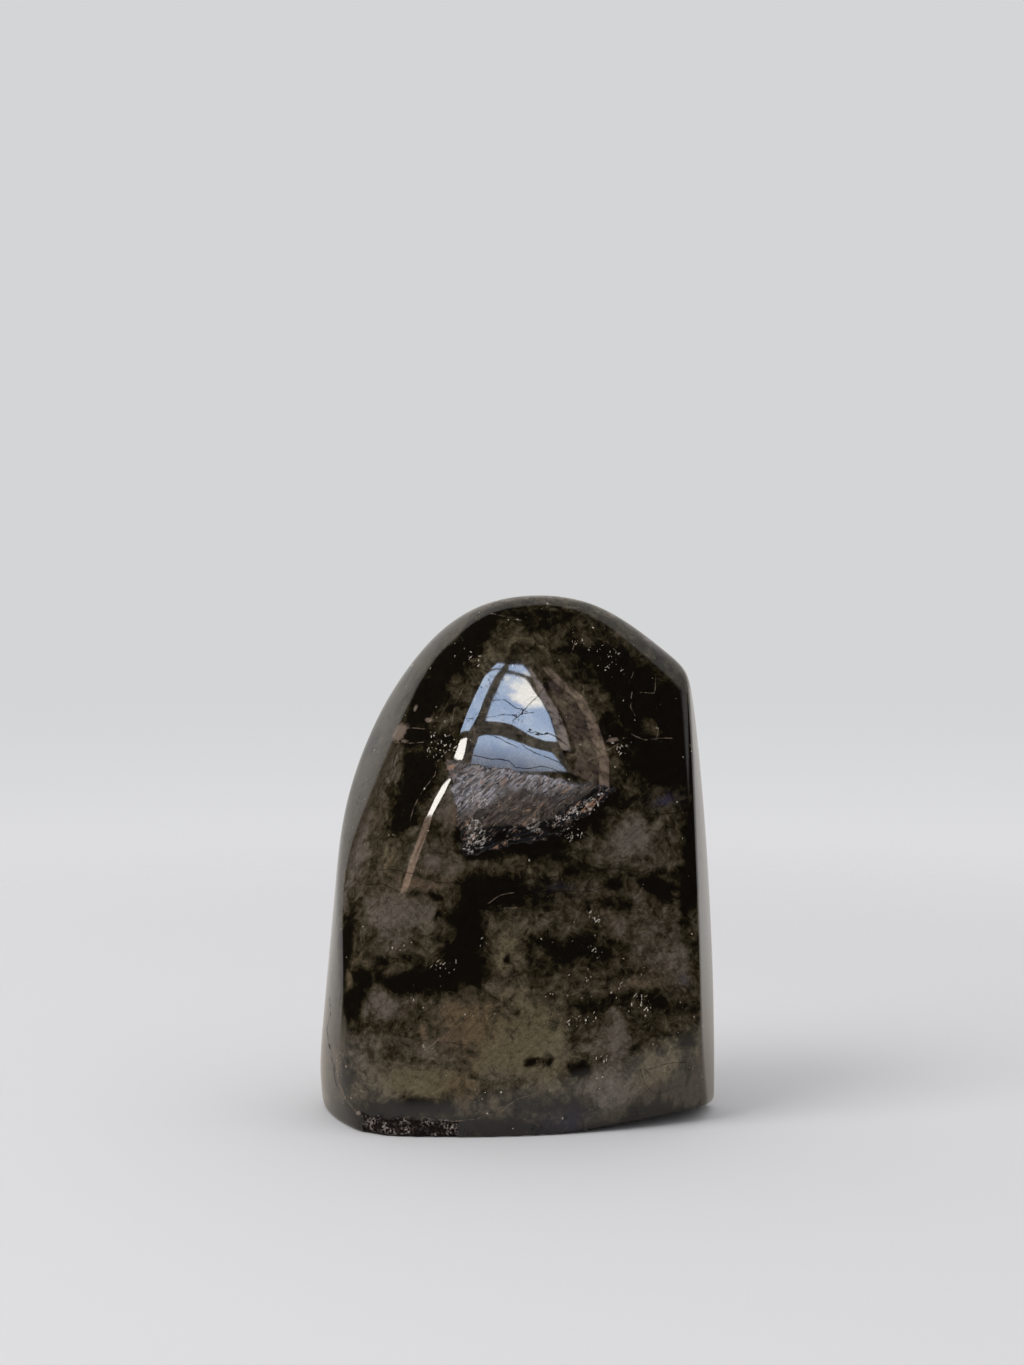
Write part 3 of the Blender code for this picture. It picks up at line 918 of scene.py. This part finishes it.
# The fill light from the front left, in metres.
FILL_AT = (-0.7, -0.4, 0.85)
FILL_AIM = (0, 0, 0.03)
FILL_SIZE = 0.7
FILL_POWER = 5.4

# The surroundings. The polish mirrors a dark room, half round each of two azimuths, and a dark thing beside
# the stone, half round a third and up to this share of straight up. All the rest is pale.
DARK_AZIMUTHS = (-123, -111)
SHADE_AZIMUTH = -68
SHADE_TOP = 0.33
MIRRORED_PALE = linear(216, 213, 210)
MIRRORED_DARK = linear(22, 20, 18)
SOFT_PALE = linear(218, 218, 220)
SOFT_DARK = linear(70, 68, 66)
WALL_FOOT = linear(221, 221, 223)
WALL = linear(212, 213, 214)
WALL_STARTS = (-0.14, -0.07)  # the heights between which the foot of the wall runs over into it

# The table, whose part near the stone is shown to the polish alone, in a colour of its own.
TABLE = linear(240, 239, 240)
NEAR_TABLE = linear(226, 218, 208)
TABLE_ROUGH = 0.9


def window():
    """The glowing pieces of the window, which only the polish shows."""
    mirrored_pieces = (
        (sky("sky", 16.0), SKY),
        (glowing("bright", linear(255, 250, 242), 19.0), BRIGHT),
        (streaked(glowing("sash", linear(255, 236, 232), 2.4), 0.1), SASH),
        (streaked(glowing("curtain", linear(255, 222, 202), 1.9), 0.1), CURTAIN),
        (streaked(glowing("lining", linear(255, 214, 190), 2.6), 0.1), LINING),
        (streaked(glowing("pale", linear(255, 222, 210), 0.7), 0.06), PALE),
        (streaked(glowing("bars", linear(255, 244, 236), 0.55), 0.04), BARS),
    )
    for material, pieces in mirrored_pieces:
        for number, corners in enumerate(pieces):
            piece = flat(f"{material.name}_{number}", [toward(*corner) for corner in corners], material)
            piece.visible_camera = piece.visible_diffuse = False
            if pieces is BARS:
                piece.location.y = -BARS_BEHIND


def fill_light():
    """A large soft light, which neither the camera nor the polish shows."""
    fill = bpy.data.objects.new("fill", bpy.data.lights.new("fill", "AREA"))
    fill.data.size = FILL_SIZE
    fill.data.energy = FILL_POWER
    fill.location = FILL_AT
    fill.rotation_euler = (Vector(FILL_AIM) - fill.location).to_track_quat("-Z", "Y").to_euler()
    fill.visible_glossy = False
    fill.visible_camera = False
    bpy.context.scene.collection.objects.link(fill)


def surroundings():
    """The room: as the polish mirrors it, as it lights the stone, and as the camera sees it."""
    world = bpy.data.worlds.new("surroundings")
    bpy.context.scene.world = world
    world.use_nodes = True
    g = Graph(world.node_tree)
    path = g.node("ShaderNodeLightPath")
    facing = g.node("ShaderNodeTexCoord").outputs["Generated"]
    height = g.node("ShaderNodeSeparateXYZ", Vector=facing).outputs["Z"]
    shade = g.dot(facing, directions(SHADE_AZIMUTH, 0)[0])
    shade = g.maths("MINIMUM", shade, g.maths("MULTIPLY_ADD", height, -1.0, SHADE_TOP))
    room = g.maths("MAXIMUM", *(g.dot(facing, directions(azimuth, 0)[0]) for azimuth in DARK_AZIMUTHS))
    room = g.maths("MAXIMUM", room, shade)
    mirrored = g.mix(g.step(room, -0.04, 0.04), MIRRORED_PALE, MIRRORED_DARK)
    wall = g.mix(g.step(height, *WALL_STARTS), WALL_FOOT, WALL)
    soft = g.mix(g.step(room, 0.1, 0.9), SOFT_PALE, SOFT_DARK)
    colour = g.mix(path.outputs["Is Glossy Ray"], soft, mirrored)
    colour = g.mix(path.outputs["Is Camera Ray"], colour, wall)
    g.put(colour, g.tree.nodes["Background"].inputs["Color"])


def table(name, material, half_width, height, fades):
    """A square of table that fades out between two distances from the stone, all in metres."""
    g = Graph(material.node_tree)
    away = g.node("ShaderNodeVectorMath", {"operation": "LENGTH"})
    g.put(g.node("ShaderNodeTexCoord").outputs["Object"], away.inputs[0])
    shader = g.tree.nodes["Principled BSDF"]
    g.put(g.maths("SUBTRACT", 1.0, g.step(away.outputs["Value"], *fades)), shader.inputs["Alpha"])
    corners = ((-1, -1), (1, -1), (1, 1), (-1, 1))
    return flat(name, [(x * half_width, y * half_width, height) for x, y in corners], material)


def floor():
    """The table for all but the polish, and the part of it near the stone that the polish mirrors."""
    seen = table("floor", plain("table", TABLE, TABLE_ROUGH), half_width=0.6, height=0, fades=(0.1, 0.32))
    seen.visible_glossy = False
    near = table("near_floor", plain("near_table", NEAR_TABLE, TABLE_ROUGH),
                 half_width=0.25, height=0.0001, fades=(0.04, 0.19))
    near.visible_camera = near.visible_diffuse = near.visible_shadow = False


def camera(foot, scale):
    """The camera, moved into the CAD part's box with the stone."""
    view = bpy.data.cameras.new("camera")
    view.sensor_width = 36.0
    view.lens = view.sensor_width * FOCAL / PICTURE[1]
    view.clip_start = 0.01
    taker = bpy.data.objects.new("camera", view)
    taker.location = (np.array(CAMERA_AT) - foot) * scale
    taker.rotation_euler = (radians(90 - CAMERA_DOWN), 0, 0)
    bpy.context.scene.collection.objects.link(taker)
    bpy.context.scene.camera = taker


def main():
    data, foot, scale = stone()
    data.materials.append(labradorite())
    piece = bpy.data.objects.new("stone", data)
    bpy.context.scene.collection.objects.link(piece)
    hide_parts(NODE)
    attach(piece, "root")
    floor()
    window()
    fill_light()
    surroundings()
    camera(foot, scale)
    bpy.context.scene.view_settings.view_transform = "Standard"


main()
